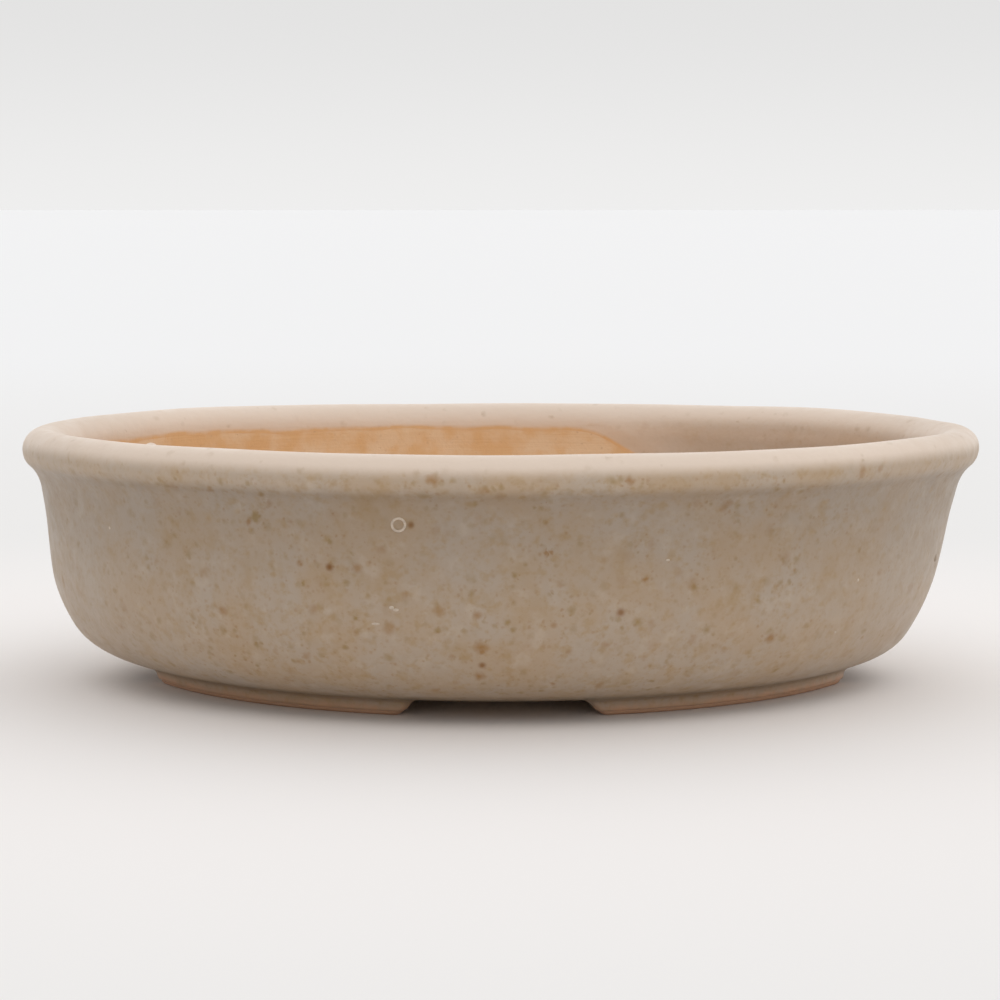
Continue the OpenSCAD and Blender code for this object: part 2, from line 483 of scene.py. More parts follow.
def speck_group():
    """Scattered specks with soft, ragged edges. Sizes are in millimetres."""
    sockets = [
        ("Place", "Vector", None),
        ("Spacing", "Float", 1.5),
        ("Radius", "Float", 0.3),
        ("Share", "Float", 0.4),
        ("Ragged", "Float", 0.3),
    ]
    group, given, made = new_group("scattered_specks", sockets, [("Mask", "Float")])
    spacing, radius = given.outputs["Spacing"], given.outputs["Radius"]
    wobble_scale = math_node(group, "DIVIDE", 0.7, radius)
    inputs = {"Vector": given.outputs["Place"], "Scale": wobble_scale, "Detail": 2.0}
    wobble = add(group, "TexNoise", inputs).outputs["Color"]
    centred = add(group, "VectorMath", {0: wobble, 1: (0.5, 0.5, 0.5)}, operation="SUBTRACT")
    amount = product(group, given.outputs["Ragged"], 2.0)
    inputs = {0: centred.outputs[0], "Scale": amount}
    offset = add(group, "VectorMath", inputs, operation="SCALE").outputs[0]
    inputs = {0: given.outputs["Place"], 1: offset}
    place = add(group, "VectorMath", inputs, operation="ADD").outputs[0]
    inputs = {"Vector": place, "Scale": math_node(group, "DIVIDE", 1.0, spacing)}
    cells = add(group, "TexVoronoi", inputs)
    distance = product(group, cells.outputs["Distance"], spacing)
    chance = add(group, "SeparateColor", {0: cells.outputs["Color"]}).outputs
    own_radius = product(group, radius, ramp(group, chance[1], 0, 1, 0.5, 1.4))
    nearness = math_node(group, "DIVIDE", distance, own_radius)
    inside = ramp(group, nearness, 0.1, 1.0, 1.0, 0.0)
    chosen = math_node(group, "LESS_THAN", chance[0], given.outputs["Share"])
    strength = ramp(group, chance[2], 0, 1, 0.35, 1.0)
    group.links.new(product(group, inside, chosen, strength), made.inputs[0])
    return group


SOFT_PATCHES = cloud_group()
SPECKS = speck_group()


def place_in_mm(tree):
    """The place on the pot, in millimetres."""
    own = add(tree, "TexCoord").outputs["Object"]
    return add(tree, "VectorMath", {0: own, "Scale": 1 / MM}, operation="SCALE").outputs[0]


def mask_of(tree, name):
    """A mask that paint_masks() stored. It is 0 on pieces that don't have it."""
    return add(tree, "Attribute", attribute_name=name).outputs["Fac"]


def new_material(name, specular=0.5):
    """A material, its node tree and its surface shader."""
    material = bpy.data.materials.new(name)
    material.use_nodes = True
    tree = material.node_tree
    surface = tree.nodes["Principled BSDF"]
    surface.inputs["Specular IOR Level"].default_value = specular
    return material, tree, surface


def bump(tree, surface, heights):
    """Adds up (height, depth in millimetres) pairs and lets them shape the surface."""
    total = None
    for height, depth in heights:
        part = product(tree, height, depth * MM)
        total = part if total is None else math_node(tree, "ADD", total, part)
    relief = add(tree, "Bump", {"Height": total, "Distance": 1.0, "Strength": 1.0})
    tree.links.new(relief.outputs["Normal"], surface.inputs["Normal"])


# ---- Materials -------------------------------------------------------------------------

# Colours are red, green and blue, in linear light.
GLAZE_GREY = (0.385, 0.308, 0.238)
GLAZE_TAN = (0.385, 0.272, 0.170)
GLAZE_OCHRE = (0.325, 0.200, 0.070)
GLAZE_CREAM = (0.735, 0.605, 0.500)
GLAZE_MILKY = (0.470, 0.385, 0.305)
GLAZE_PALE = (0.570, 0.470, 0.370)
SPECK_RUST = (0.250, 0.108, 0.008)
SPECK_OLIVE = (0.225, 0.130, 0.010)
SPECK_IRON = (0.190, 0.070, 0.003)
# Painted shade for the crease where the body meets the feet.
CREASE_SHADE = (0.230, 0.165, 0.100)
FOOT_RED = (0.590, 0.345, 0.210)
CLAY_ORANGE = (0.710, 0.450, 0.235)
CLAY_PALE = (0.780, 0.610, 0.440)
CLAY_BROWN = (0.480, 0.280, 0.180)
CLAY_BLOOM = (0.780, 0.660, 0.520)

# Cloud layers: size, noise level where a patch starts and where it is full, strength, colour.
CLOUDS = (
    (4.0, 0.50, 0.78, 0.35, GLAZE_OCHRE),
    (1.5, 0.50, 0.74, 0.45, GLAZE_OCHRE),
    (0.7, 0.50, 0.80, 0.40, GLAZE_OCHRE),
    (2.6, 0.52, 0.78, 0.45, GLAZE_MILKY),
)

# Freckle layers: spacing, radius, share of cells that hold one, raggedness, strength, colour.
# Like every length here, theirs are in millimetres.
FRECKLES = (
    (0.60, 0.25, 0.60, 0.16, 0.45, SPECK_RUST),
    (1.10, 0.46, 0.55, 0.25, 0.55, SPECK_OLIVE),
    (1.90, 0.66, 0.52, 0.50, 0.65, SPECK_OLIVE),
    (2.70, 0.84, 0.46, 0.65, 0.75, SPECK_RUST),
    (3.70, 0.70, 0.50, 0.40, 0.95, SPECK_RUST),
)

# Iron melts: place on the pot, radius, strength, colour.
IRON_MELTS = (
    (-19.3, -42.5, 19.0, 0.70, 0.95, SPECK_IRON),
    (-16.1, -43.4, 19.0, 0.85, 0.55, SPECK_RUST),
    (-22.7, -41.2, 19.3, 0.60, 0.45, SPECK_RUST),
    (-10.0, -45.5, 24.1, 0.60, 0.80, SPECK_IRON),
    (-2.1, -42.4, 7.8, 0.65, 0.80, SPECK_IRON),
    (13.6, -43.3, 13.9, 0.75, 0.80, SPECK_IRON),
    (6.0, -44.3, 12.6, 0.60, 0.50, SPECK_RUST),
    (31.3, -38.1, 25.6, 0.60, 0.60, SPECK_RUST),
)


def clouded(tree, place, middle):
    """Grey beige glaze with tan, ochre and milky clouds, fainter away from the middle."""
    broad = use(tree, SOFT_PATCHES, Place=place, Size=9.0, Low=0.32, High=0.66)
    colour = blend_colour(tree, product(tree, broad, middle, 0.75), GLAZE_GREY, GLAZE_TAN)
    for size, low, high, strength, tint in CLOUDS:
        patches = use(tree, SOFT_PATCHES, Place=place, Size=size, Low=low, High=high)
        colour = blend_colour(tree, product(tree, patches, middle, strength), colour, tint)
    return colour


def freckled(tree, place, middle, colour):
    """Adds freckles, in crowds, and the larger iron melts to a colour."""
    crowd = use(tree, SOFT_PATCHES, Place=place, Size=6.0, Low=0.36, High=0.64)
    crowd = product(tree, ramp(tree, crowd, 0, 1, 0.35, 1.0), middle)
    for spacing, radius, share, ragged, strength, tint in FRECKLES:
        specks = use(
            tree, SPECKS, Place=place, Spacing=spacing, Radius=radius, Share=share, Ragged=ragged
        )
        colour = blend_colour(tree, product(tree, specks, crowd, strength), colour, tint)
    for x, y, height, radius, strength, tint in IRON_MELTS:
        inputs = {0: place, 1: Vector(on_wall(x, y, height)[0])}
        away = add(tree, "VectorMath", inputs, operation="DISTANCE").outputs["Value"]
        melt = ramp(tree, away, 0.1 * radius, radius, strength, 0)
        colour = blend_colour(tree, melt, colour, tint)
    return colour


def glaze_finish():
    """Satin glaze: clouded and freckled, and greyer at the ends, with painted light and shade by
    height: lighter low on the wall, darker under the lip and lighter again on the lip. Over the lip
    it is cream, in the crease above the feet painted shade darkens it, and where it thins out the
    clay shows."""
    material, tree, surface = new_material("speckled_glaze")
    place = place_in_mm(tree)
    x, _, z = add(tree, "SeparateXYZ", {0: place}).outputs
    ends = math_node(tree, "ABSOLUTE", x)
    middle = ramp(tree, ends, 28, 50, 1.0, 0.6)
    colour = freckled(tree, place, middle, clouded(tree, place, middle))
    # Painted light and shade by height: lighter low on the wall, darker under the lip, lighter on
    # the lip.
    painted_shading = product(tree, ramp(tree, z, 8, 26, 1.12, 0.86), ramp(tree, z, 27, 28.8, 1, 1.36))
    colour = add(tree, "VectorMath", {0: colour, "Scale": painted_shading}, operation="SCALE").outputs[0]
    # The cream fades towards the ends of the lip: painted shade that keeps the ends from looking
    # too brightly lit.
    cream = product(tree, mask_of(tree, "cream"), ramp(tree, ends, 42, 59, 1, 0.72))
    colour = blend_colour(tree, cream, colour, GLAZE_CREAM)
    mottle = use(tree, SPECKS, Place=place, Spacing=1.6, Radius=0.55, Share=0.5, Ragged=0.5)
    mottle = product(tree, mottle, ramp(tree, z, 29, 32, 0.35, 0.2))
    colour = blend_colour(tree, mottle, colour, GLAZE_OCHRE)
    # Painted shade in the crease between the body and the feet.
    colour = blend_colour(tree, mask_of(tree, "pooled"), colour, CREASE_SHADE)
    ragged = use(tree, SOFT_PATCHES, Place=place, Size=2.5, Low=0.3, High=0.7)
    thin = product(tree, mask_of(tree, "thin"), ramp(tree, ragged, 0, 1, 1.25, 0.75))
    bare = blend_colour(tree, ramp(tree, z, 3, 6), FOOT_RED, CLAY_ORANGE)
    colour = blend_colour(tree, ramp(tree, thin, 0, 1), colour, bare)
    tree.links.new(colour, surface.inputs["Base Color"])
    peel = use(tree, SOFT_PATCHES, Place=place, Size=2.2, Low=0.2, High=0.8)
    grit = use(tree, SOFT_PATCHES, Place=place, Size=0.5, Low=0.2, High=0.8)
    tree.links.new(ramp(tree, peel, 0, 1, 0.36, 0.5), surface.inputs["Roughness"])
    bump(tree, surface, [(peel, 0.05), (grit, 0.008)])
    return material


def clay_finish():
    """Bare clay: orange where it was flashed by the glaze, with fine sand and rib lines."""
    material, tree, surface = new_material("bare_clay", 0.3)
    place = place_in_mm(tree)
    broad = use(tree, SOFT_PATCHES, Place=place, Size=5.0, Low=0.4, High=0.66)
    colour = blend_colour(tree, product(tree, broad, 0.6), CLAY_ORANGE, CLAY_PALE)
    colour = blend_colour(tree, mask_of(tree, "bloom"), colour, CLAY_BLOOM)
    sand = use(tree, SPECKS, Place=place, Spacing=0.7, Radius=0.2, Share=0.35, Ragged=0.1)
    colour = blend_colour(tree, product(tree, sand, 0.4), colour, CLAY_BROWN)
    colour = blend_colour(tree, mask_of(tree, "toasted"), colour, CLAY_BROWN)
    tree.links.new(colour, surface.inputs["Base Color"])
    long_way = add(tree, "VectorMath", {0: place, 1: (0.05, 0.05, 3.0)}, operation="MULTIPLY")
    lines = add(tree, "TexNoise", {"Vector": long_way.outputs[0], "Scale": 1.0})
    pores = use(tree, SPECKS, Place=place, Spacing=0.9, Radius=0.15, Share=0.3, Ragged=0.1)
    grain = use(tree, SOFT_PATCHES, Place=place, Size=0.4, Low=0.2, High=0.8)
    tree.links.new(ramp(tree, grain, 0, 1, 0.68, 0.84), surface.inputs["Roughness"])
    bump(tree, surface, [(lines.outputs[0], 0.05), (pores, -0.05), (grain, 0.02)])
    return material


def pale_spot_finish():
    """A small pale spot in the glaze, mottled with milky glaze."""
    material, tree, surface = new_material("pale_glaze")
    patches = use(tree, SOFT_PATCHES, Place=place_in_mm(tree), Size=0.4, Low=0.35, High=0.65)
    colour = blend_colour(tree, patches, GLAZE_PALE, GLAZE_MILKY)
    tree.links.new(colour, surface.inputs["Base Color"])
    surface.inputs["Roughness"].default_value = 0.35
    bump(tree, surface, [(patches, 0.02)])
    return material


GLAZE_FINISH = glaze_finish()
CLAY_FINISH = clay_finish()
PALE_SPOT = pale_spot_finish()


# ---- Clay and coats --------------------------------------------------------------------


def clay_piece(name, points, faces):
    """A piece of bare clay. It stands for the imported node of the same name."""
    return make_piece(name, handmade(points), faces, CLAY_FINISH, [name])


def clay_ring(name, section):
    """A closed section of clay carried all the way round the oval."""
    points = swept(section)
    rows, columns = points.shape[:2]
    return clay_piece(name, points.reshape(-1, 3), grid_faces(rows, columns, True, True))


def coat_piece(name, outside, inside, closed):
    """A coat of glaze between two grids of points, stitched together along their edges. It
    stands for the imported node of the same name."""
    rows, columns = outside.shape[:2]
    count = rows * columns
    outer = grid_faces(rows, columns, False, closed)
    faces = [outer, outer + count]
    for row in (0, rows - 1):
        edge = row * columns + np.arange(columns)
        faces.append(stitch(edge, edge + count, closed))
    if not closed:
        for column in (0, columns - 1):
            edge = np.arange(rows) * columns + column
            faces.append(stitch(edge, edge + count, False))
    points = handmade(np.concatenate([outside.reshape(-1, 3), inside.reshape(-1, 3)]))
    faces = np.concatenate(faces)
    return make_piece(name, points, faces, GLAZE_FINISH, [name])


def wall():
    """The wall and belly, with a rebate underneath for the floor. A pale bloom lies on the clay
    inside at the left end, and there is a small patch of it at the back."""
    coarse = 2.0
    section = path(
        outer_curve(GLAZE),
        line((BELLY_CENTRE[0], FLOOR_BOTTOM), (REBATE_INSET, FLOOR_BOTTOM)),
        line((REBATE_INSET, FLOOR_BOTTOM), (REBATE_INSET, REBATE_HEIGHT), coarse),
        line((REBATE_INSET, REBATE_HEIGHT), (SLAB_INSET, REBATE_HEIGHT), coarse),
        line((SLAB_INSET, REBATE_HEIGHT), (SLAB_INSET, FLOOR_TOP), coarse),
        line((SLAB_INSET, FLOOR_TOP), (FILLET_CENTRE[0], FLOOR_TOP)),
        arc(FILLET_CENTRE, FLOOR_FILLET, 270, 180 + LEAN),
        line(inner_face(FILLET_TOP) - level(GLAZE), inner_face(LIP_JOINT) - level(GLAZE)),
    )
    piece = clay_ring("wall", section)
    x, y, z = swept(section).reshape(-1, 3).T
    left_end = smooth(-x, 22, 40) * smooth(z, 14, 24)
    back_patch = hump(x, -8.2, 1.5) * hump(z, 26.6, 2.0) * (y > 0)
    paint_masks(piece, bloom=0.95 * left_end + 0.55 * back_patch)


def rim_lip():
    """The rolled lip, on top of the wall."""
    over = lip_over(GLAZE)
    clay_ring("rim_lip", path(over, line(over[-1], inner_face(LIP_JOINT) - level(GLAZE))))


def body_glaze():
    """Glaze on the outside, down round the belly to the feet."""
    end = 270 - math.degrees(math.asin((BELLY_CENTRE[0] - FOOT_INSET - GLAZE) / BELLY_RADIUS))
    outside = outer_curve(0, end)
    inside = outer_curve(GLAZE + BITE, end)
    piece = coat_piece("body_glaze", swept(outside), swept(inside), True)
    height = np.repeat(np.concatenate([outside[:, 1], inside[:, 1]]), STATIONS)
    # Painted shade darkens the band just above the feet, in the crease; below it the bare clay
    # shows.
    paint_masks(piece, pooled=1 - smooth(height, 2.2, 3.4), thin=1 - smooth(height, 2.0, 2.25))


# Steps down the straight inside of the lip, as shares of the way to the edge of the glaze.
INNER_SHARES = np.linspace(0, 1, 27)[1:, None]
# The coat inside is full this far above its edge, and gone this far below it.
FULL_ABOVE = 3.0
GONE_BELOW = 0.4
# Clay shows through up to this far above the edge.
CLAY_SHOWS = 0.9
# Heights between which the outside of the lip turns cream.
CREAM_FROM, CREAM_FULL = 29.2, 31.0


def run_down(angle):
    """How far round towards the back right a place is, where the glaze ran down inside."""
    return 1 - smooth(turn_from(angle, 0.35), 0.66, 1.07)


def glaze_line(angle):
    """Height at which the glaze ends inside. It runs down the wall at the back right."""
    ragged = 0.16 * np.sin(11 * angle + 0.5) + 0.1 * np.sin(29 * angle) + 0.06 * np.sin(53 * angle)
    return 28.5 + ragged - 9 * run_down(angle)


def rim_glaze():
    """Glaze over the lip and down to a ragged edge inside, where it thins out to nothing."""
    over, clay, under = (lip_over(depth)[:, None] for depth in (0, GLAZE, GLAZE + BITE))
    count = len(over)
    edge_height = glaze_line(ANGLES)
    inner_top = over[-1, 0, 1]
    height = inner_top + INNER_SHARES * (edge_height[None, :] - inner_top)
    past_top = (np.arange(count) > np.argmax(over[:, 0, 1]))[:, None]
    height_over = np.repeat(over[..., 1], STATIONS, axis=1)
    above_edge = np.concatenate([height_over, height]) - edge_height[None, :]
    full = smooth(above_edge, -GONE_BELOW, FULL_ABOVE)
    full[:count] = np.where(past_top, full[:count], 1)
    face = OVERHANG + (LIP_JOINT - height) * LEAN_SLOPE + (WALL_THICK + 2 * GLAZE) / LEAN_COS
    thinned = face - GLAZE * (1 - full[count:]) / LEAN_COS
    buried = face - (GLAZE + BITE) / LEAN_COS
    coated = clay + full[:count, :, None] * (over - clay)
    outside = np.concatenate([coated, np.stack([thinned, height], -1)])
    under = np.repeat(under, STATIONS, axis=1)
    inside = np.concatenate([under, np.stack([buried, height], -1)])
    piece = coat_piece("rim_glaze", swept(outside), swept(inside), True)
    thin = 1 - smooth(above_edge, 0.0, CLAY_SHOWS)
    thin[:count] = np.where(past_top, thin[:count], 0)
    low_cream = 1 - 0.6 * run_down(ANGLES)
    cream = np.repeat(low_cream[None, :], len(thin), axis=0)
    inner_cream = low_cream + (1 - low_cream) * smooth(height_over, inner_top, inner_top + 1.8)
    outer_cream = smooth(height_over, CREAM_FROM, CREAM_FULL)
    cream[:count] = np.where(past_top, inner_cream, outer_cream)
    paint_masks(piece, thin=[thin, thin], cream=[cream, cream])


# ---- The floor slab --------------------------------------------------------------------

# Rounding of each hole's edges, its steps, and how far apart the points on the slab are. A hole
# with more than the large radius has twice the points round it.
HOLE_ROUND = 0.7
HOLE_TILTS = np.radians([0, 25, 45, 65, 90])
LARGE_HOLE = 3
SLAB_SPACING = 1.3


def floor_holes():
    """Middle and radius of every hole, from the record's mounts."""
    found = []
    for mount in frame["record"]["mounts"]:
        x, y = mount["pos_m"][0] / MM, mount["pos_m"][1] / MM
        sizes = mount["dims"]
        if mount["kind"] == "bore":
            found.append((x, y, sizes["r_mm"]))
        if mount["kind"] == "bolt_pattern":
            half_x, half_y = sizes["spacing_x_mm"] / 2, sizes["spacing_y_mm"] / 2
            for side_x in (-1, 1):
                for side_y in (-1, 1):
                    found.append((x + side_x * half_x, y + side_y * half_y, sizes["hole_r_mm"]))
    return found


def slab_face(inset):
    """One face of the slab: plan points, how far each lies below the face, triangles, and the
    numbers of the points on the edge and round each hole."""
    edge = np.column_stack(oval(ANGLES, inset))
    plan, drop, loops = [edge], [np.zeros(STATIONS)], [np.arange(STATIONS)]
    constraints = [np.arange(STATIONS)]
    holes = floor_holes()
    for x, y, radius in holes:
        count = 72 if radius > LARGE_HOLE else 36
        turn = np.linspace(0, 2 * math.pi, count, endpoint=False)
        for tilt in HOLE_TILTS:
            away = radius + HOLE_ROUND * (1 - math.sin(tilt))
            start = sum(len(part) for part in plan)
            plan.append(np.column_stack([x + away * np.cos(turn), y + away * np.sin(turn)]))
            drop.append(np.full(count, HOLE_ROUND * (1 - math.cos(tilt))))
            constraints.append(start + np.arange(count))
        loops.append(constraints[-1])
    filling = slab_filling(inset, holes)
    plan.append(filling)
    drop.append(np.zeros(len(filling)))
    plan, drop = np.concatenate(plan), np.concatenate(drop)
    edges = np.concatenate([np.column_stack([c, np.roll(c, -1)]) for c in constraints])
    inside_only, tolerance = 1, 1e-7
    outline = [loops[0].tolist()]
    made = delaunay_2d_cdt(plan.tolist(), edges.tolist(), outline, inside_only, tolerance)
    triangles = np.array(made[2])
    middle = plan[triangles].mean(axis=1)
    open_here = np.zeros(len(triangles), bool)
    for x, y, radius in holes:
        open_here |= np.hypot(middle[:, 0] - x, middle[:, 1] - y) < radius
    return plan, drop, triangles[~open_here], loops


def slab_filling(inset, holes):
    """Points spread evenly over the slab, clear of its edge and its holes."""
    across = SLAB_SPACING * math.sqrt(3) / 2
    rows = np.arange(-HALF_WIDTH, HALF_WIDTH, across)
    columns = np.arange(-HALF_LENGTH, HALF_LENGTH, SLAB_SPACING)
    x, y = np.meshgrid(columns, rows)
    x = x + (np.arange(len(rows)) % 2)[:, None] * SLAB_SPACING / 2
    x, y = x.ravel(), y.ravel()
    clear = inset_of(x, y)[1] > inset + SLAB_SPACING / 2
    for hole_x, hole_y, radius in holes:
        clear &= np.hypot(x - hole_x, y - hole_y) > radius + HOLE_ROUND + SLAB_SPACING / 2
    return np.column_stack([x, y])[clear]


def floor_slab():
    """The floor, stepped round its edge to sit in the rebate of the wall."""
    top, top_drop, top_faces, top_loops = slab_face(SLAB_INSET)
    bottom, bottom_drop, bottom_faces, bottom_loops = slab_face(REBATE_INSET)
    points = np.concatenate([
        np.column_stack([top, FLOOR_TOP - top_drop]),
        np.column_stack([bottom, FLOOR_BOTTOM + bottom_drop]),
        np.column_stack([top[:STATIONS], np.full(STATIONS, REBATE_HEIGHT)]),
        np.column_stack([bottom[:STATIONS], np.full(STATIONS, REBATE_HEIGHT)]),
    ])
    below = len(top)
    upper_step = below + len(bottom) + np.arange(STATIONS)
    lower_step = upper_step + STATIONS
    pairs = [(upper, lower + below) for upper, lower in zip(top_loops[1:], bottom_loops[1:])]
    pairs.append((top_loops[0], upper_step))
    pairs.append((upper_step, lower_step))
    pairs.append((lower_step, bottom_loops[0] + below))
    faces = top_faces.tolist() + (bottom_faces + below).tolist()
    for one, other in pairs:
        faces += stitch(one, other, True).tolist()
    clay_piece("floor_slab", points, faces)


# ---- The feet --------------------------------------------------------------------------

ALONG_STEPS = 96
CORNER_STEPS = 8
# How far the clay of a foot lies in from its glazed face.
FOOT_SKIN = 0.3
# Radius of a foot's bottom edge, and heights of the rows of points above that edge.
FOOT_EDGE = 0.5
FOOT_ROWS = (0.9, 1.4, 1.9, 2.3, 2.8)
# Radius of the glaze where a foot meets the body.
FLARE_RADIUS = 0.9


def foot_outline(height, grow):
    """Points round a foot in the first quarter, at a height: the outer face, the corners at its
    far end, the inner face and the corners at its near end. grow moves them all outwards."""
    gap_cut = GAP_SLANT * height / (2 * FLOOR_BOTTOM)
    corner = FOOT_CORNER
    radius = corner + grow
    turn = np.linspace(0, math.pi / 2, CORNER_STEPS + 1)
    middle = np.linspace(0, 1, ALONG_STEPS + 1)[1:-1]
    outer, inner = FOOT_INSET + corner, FOOT_INSET + FOOT_WIDTH - corner
    # Each row is an inset, the end it belongs to or 0, how far back from that end it lies, and
    # for a face its share of the way along.
    rows = [(outer - radius, 0, corner, share) for share in middle]
    rows += [(outer - radius * math.cos(a), 1, corner - radius * math.sin(a), 1) for a in turn]
    rows += [(inner + radius * math.sin(a), 1, corner - radius * math.cos(a), 1) for a in turn]
    rows += [(inner + radius, 0, corner, share) for share in middle[::-1]]
    rows += [(inner + radius * math.cos(a), -1, corner - radius * math.sin(a), 0) for a in turn]
    rows += [(outer - radius * math.sin(a), -1, corner - radius * math.cos(a), 0) for a in turn]
    inset, end, back, share = np.array(rows).T
    first = np.arcsin((END_GAP / 2 - gap_cut) / (END_RADIUS - inset))
    last = np.arccos((SIDE_GAP / 2 - gap_cut) / (SIDE_RADIUS - inset))
    start, stop = run_to(first, FOOT_INSET), run_to(last, FOOT_INSET)
    run = np.where(end < 0, start + back, np.where(end > 0, stop - back, 0))
    between = start + corner + share * (stop - start - 2 * corner)
    run = np.where(end == 0, between, run)
    angle = angle_at(run, FOOT_INSET)
    x, y = oval(angle, inset - END_SPREAD * np.cos(angle) ** 4)
    return np.column_stack([x, y, np.full(len(x), height)])


def flare(height):
    """How far the glaze fillet spreads between a foot and the body above it."""
    up = np.clip(height - (UNDERSIDE - FLARE_RADIUS), 0, FLARE_RADIUS)
    return FLARE_RADIUS - math.sqrt(FLARE_RADIUS**2 - up**2)


def quarter(points, x_side, y_side):
    """Mirrors points of the first quarter into another one. Each side is 1 or -1."""
    return points * np.array([x_side, y_side, 1])


def foot(name, x_side, y_side):
    """A bracket foot with rounded bottom edges. Its top is bedded in the floor."""
    levels = []
    for tilt in np.radians([0, 22.5, 45, 67.5, 90]):
        levels.append((FOOT_EDGE * (1 - math.cos(tilt)), -FOOT_EDGE * (1 - math.sin(tilt))))
    levels += [(height, 0.0) for height in FOOT_ROWS]
    rings = [foot_outline(height, grow - FOOT_SKIN) for height, grow in levels]
    points = quarter(np.concatenate(rings), x_side, y_side)
    rows, columns = len(rings), len(rings[0])
    faces = grid_faces(rows, columns, False, True).tolist()
    faces.append(list(range(columns)))
    faces.append(list(range((rows - 1) * columns, rows * columns)))
    piece = clay_piece(name, points, faces)
    paint_masks(piece, toasted=np.full(len(points), 0.9))


def foot_glaze(name, x_side, y_side):
    """Glaze on the outer face and the ends of a foot, with a fillet up to the body."""
    heights = np.linspace(BARE_EDGE, UNDERSIDE + 0.25, 14)
    columns = len(foot_outline(0, 0))
    # The glaze goes from the outer face round both outer corners and 5 points further.
    past_outer_corner = CORNER_STEPS + 1 + 5
    keep = np.concatenate([
        np.arange(columns - past_outer_corner, columns),
        np.arange(ALONG_STEPS - 1 + past_outer_corner),
    ])
    from_edge = np.minimum(np.arange(len(keep)), np.arange(len(keep))[::-1])
    edge_fade = np.sqrt(1 - (1 - np.clip(from_edge / 4, 0, 1)) ** 2)
    outside, inside = [], []
    for height in heights:
        low_fade = math.sqrt(1 - (1 - min(1, (height - BARE_EDGE) / 0.5)) ** 2)
        full = foot_outline(height, flare(height))[keep]
        skin = foot_outline(height, -FOOT_SKIN)[keep]
        outside.append(skin + (low_fade * edge_fade)[:, None] * (full - skin))
        inside.append(foot_outline(height, -FOOT_SKIN - BITE)[keep])
    outside = quarter(np.array(outside), x_side, y_side)
    inside = quarter(np.array(inside), x_side, y_side)
    piece = coat_piece(name, outside, inside, False)
    height = np.repeat(heights, len(keep))
    thin = 0.2 + 0.5 * (1 - smooth(height, BARE_EDGE + 0.2, BARE_EDGE + 1.1))
    # Painted shade at the top of the foot, in the crease under the body.
    pooled = 0.6 * smooth(height, UNDERSIDE - 0.5, UNDERSIDE)
    paint_masks(piece, thin=[thin, thin], pooled=[pooled, pooled])


# ---- Spots in the glaze ----------------------------------------------------------------

# Pale flecks and the bump on the right side: place, half length, half height, rise.
PALE_FLECKS = (
    (-12.3, -43.8, 14.55, 0.3, 0.22, 0.08),
    (-11.8, -43.8, 14.3, 0.35, 0.18, 0.08),
    (-14.1, -42.9, 12.6, 0.5, 0.15, 0.06),
    (18.9, -42.7, 19.8, 0.25, 0.15, 0.06),
    (42.6, -27.2, 15.6, 0.2, 0.2, 0.06),
    (40.1, -27.3, 9.4, 0.2, 0.15, 0.06),
    (-46.1, -24.7, 21.6, 0.18, 0.18, 0.06),
)
SIDE_BUMP = ((54.4, -9.7, 16.3, 0.5, 0.55, 0.22),)
# Where the middle of the burst bubble is, and the radii of its rim.
BUBBLE = (-11.4, -45.3, 24.1)
BUBBLE_RADIUS = 0.74
BUBBLE_HALF_WIDTH = 0.15
BUBBLE_RISE = 0.1
# The way that the lip faces where a bead of glaze sits on it.
FRONT_LEFT_LIP = -2.33


def lump(place, along, up, out, half_length, half_height, rise, sunk=0.12):
    """Points and faces of a low rounded lump, sunk a little into the glaze."""
    rows, columns, first_tilt = 6, 14, 0.12
    tilt = np.linspace(first_tilt, math.pi - first_tilt, rows)
    turn = np.linspace(0, 2 * math.pi, columns, endpoint=False)
    ring = np.sin(tilt)[:, None, None]
    side = np.cos(turn)[None, :, None] * half_length * along
    side = side + np.sin(turn)[None, :, None] * half_height * up
    lift = np.cos(tilt)[:, None, None] * np.where(tilt < math.pi / 2, rise, sunk)[:, None, None]
    points = place + ring * side + lift * out
    faces = grid_faces(rows, columns, False, True).tolist()
    faces.append(list(range(columns)))
    faces.append(list(range((rows - 1) * columns, rows * columns)))
    return points.reshape(-1, 3), faces


def lumps_piece(name, lumps, material):
    """Several lumps as one piece."""
    points, faces = [], []
    for x, y, height, half_length, half_height, rise in lumps:
        made, made_faces = lump(*on_wall(x, y, height), half_length, half_height, rise)
        start = sum(len(part) for part in points)
        points.append(made)
        faces += [[start + number for number in face] for face in made_faces]
    make_piece(name, np.concatenate(points), faces, material)


def bubble_ring():
    """The raised rim of a bubble that burst in the glaze."""
    place, along, up, out = on_wall(*BUBBLE)
    turns = np.linspace(0, 2 * math.pi, 40, endpoint=False)
    tubes = np.linspace(0, 2 * math.pi, 12, endpoint=False)
    uneven = 0.98 + 0.04 * np.sin(2 * turns + 1)
    away = np.cos(turns)[:, None, None] * along + np.sin(turns)[:, None, None] * up * 1.05
    reach = BUBBLE_RADIUS * uneven[:, None] + BUBBLE_HALF_WIDTH * np.cos(tubes)[None, :]
    lift = BUBBLE_RISE * np.sin(tubes)[None, :, None] * out
    points = (place + away * reach[..., None] + lift).reshape(-1, 3)
    faces = grid_faces(len(turns), len(tubes), True, True)
    make_piece("bubble_ring", points, faces, PALE_SPOT)


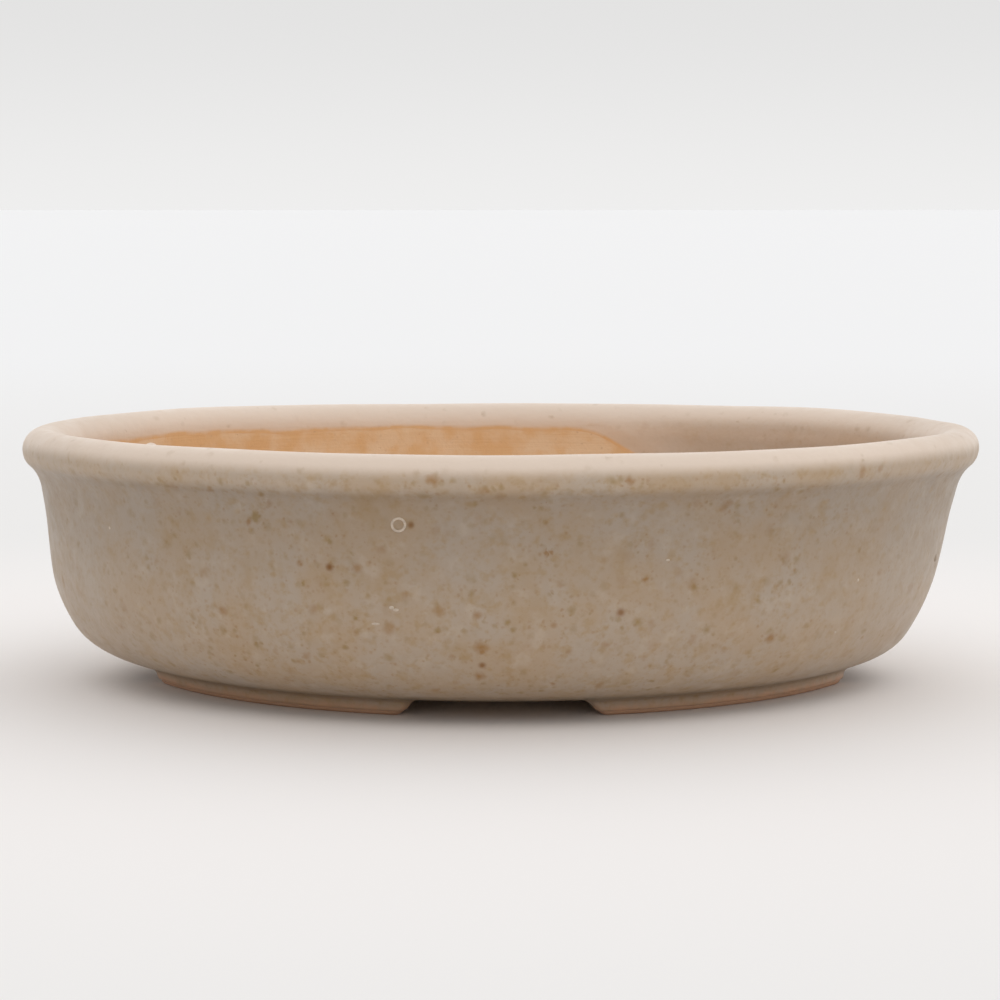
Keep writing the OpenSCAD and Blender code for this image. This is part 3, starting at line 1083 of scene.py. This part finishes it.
def lip_bump():
    """A bead of glaze on the inner edge of the lip, at the front left."""
    x, y = oval(np.array(FRONT_LEFT_LIP), 4.2)
    place = handmade(np.array([[x, y, POT_HEIGHT - 0.35]]))[0]
    along = np.array([-math.sin(FRONT_LEFT_LIP), math.cos(FRONT_LEFT_LIP), 0])
    out = np.array([0, 0, 1.0])
    points, faces = lump(place, along, np.cross(out, along), out, 0.75, 0.6, 0.4, 0.4)
    piece = make_piece("lip_bump", points, faces, GLAZE_FINISH)
    paint_masks(piece, cream=np.ones(len(points)))


# ---- Stage -----------------------------------------------------------------------------

# The floor's colour near the pot, painted lighter there as painted light that softens the pot's
# shadow, in its surroundings and far away.
FLOOR_LIT_NEAR = (0.890, 0.865, 0.855)
FLOOR_AROUND = (0.820, 0.815, 0.810)
FLOOR_FAR = (0.860, 0.865, 0.875)

# Soft windows round the studio: direction, where the glow starts, its strength, its base.
WINDOWS = (
    ((0.1, -0.45, 0.9), 0.5, 0.74, 0.21),
    ((0.2, 1.0, 0.3), 0.0, 0.95, 0.0),
    ((0.0, -1.0, 0.12), 0.3, 0.42, 0.0),
    ((-1.0, 0.25, 0.12), 0.2, 0.48, 0.0),
    ((1.0, -0.1, 0.08), 0.2, 0.45, 0.0),
)


def stage_floor():
    """A wide pale floor under the pot, in metres."""
    size = 60.0
    mesh = bpy.data.meshes.new("stage_floor")
    corners = [(-size, -size, 0), (size, -size, 0), (size, size, 0), (-size, size, 0)]
    mesh.from_pydata(corners, [], [(0, 1, 2, 3)])
    material, tree, surface = new_material("pale_floor", 0.1)
    surface.inputs["Roughness"].default_value = 0.9
    place = add(tree, "TexCoord").outputs["Object"]
    distance = add(tree, "VectorMath", {0: place}, operation="LENGTH").outputs["Value"]
    # Painted light: the floor is lighter near the pot, to soften the pot's shadow.
    colour = blend_colour(tree, ramp(tree, distance, 0.08, 0.2), FLOOR_LIT_NEAR, FLOOR_AROUND)
    colour = blend_colour(tree, ramp(tree, distance, 0.2, 0.9), colour, FLOOR_FAR)
    tree.links.new(colour, surface.inputs["Base Color"])
    mesh.materials.append(material)
    floor = bpy.data.objects.new("stage_floor", mesh)
    bpy.context.scene.collection.objects.link(floor)


def camera():
    """A long lens, a little above the lip. Places are in metres."""
    distance, height, aim = 0.38624, 0.05944, 0.022538
    data = bpy.data.cameras.new("camera")
    data.sensor_width = 36
    data.lens = 110.43
    data.clip_start = 0.01
    data.clip_end = 200
    eye = bpy.data.objects.new("camera", data)
    bpy.context.scene.collection.objects.link(eye)
    eye.location = (0, -distance, height)
    look = Vector((-0.0001, 0, aim)) - eye.location
    eye.rotation_euler = look.to_track_quat("-Z", "Y").to_euler()
    bpy.context.scene.camera = eye


def soft_light():
    """Even light from a pale studio. The camera sees a plain pale backdrop instead."""
    world = bpy.data.worlds.new("studio")
    bpy.context.scene.world = world
    world.use_nodes = True
    tree = world.node_tree
    background = tree.nodes["Background"]
    direction = add(tree, "TexCoord").outputs["Generated"]
    glow = None
    for toward, start, gain, base in WINDOWS:
        inputs = {0: direction, 1: Vector(toward).normalized()}
        facing = add(tree, "VectorMath", inputs, operation="DOT_PRODUCT").outputs["Value"]
        window = ramp(tree, facing, start, 1.0, base, base + gain)
        glow = window if glow is None else math_node(tree, "ADD", glow, window)
    seen = add(tree, "LightPath").outputs["Is Camera Ray"]
    height = add(tree, "SeparateXYZ", {0: direction}).outputs["Z"]
    backdrop = ramp(tree, height, -0.01, 0.075, 0.865, 0.77)
    glow = add(tree, "Mix", {0: seen, 2: glow, 3: backdrop})
    background.inputs["Color"].default_value = (1.0, 0.995, 0.99, 1)
    tree.links.new(glow.outputs[0], background.inputs["Strength"])
    bpy.context.scene.view_settings.view_transform = "Standard"


wall()
rim_lip()
floor_slab()
body_glaze()
rim_glaze()
for y_side, row in ((-1, "front"), (1, "back")):
    for x_side, side in ((-1, "left"), (1, "right")):
        foot(f"foot_{row}_{side}", x_side, y_side)
        foot_glaze(f"foot_glaze_{row}_{side}", x_side, y_side)
bubble_ring()
lip_bump()
lumps_piece("pale_flecks", PALE_FLECKS, PALE_SPOT)
lumps_piece("side_bump", SIDE_BUMP, GLAZE_FINISH)
stage_floor()
camera()
soft_light()
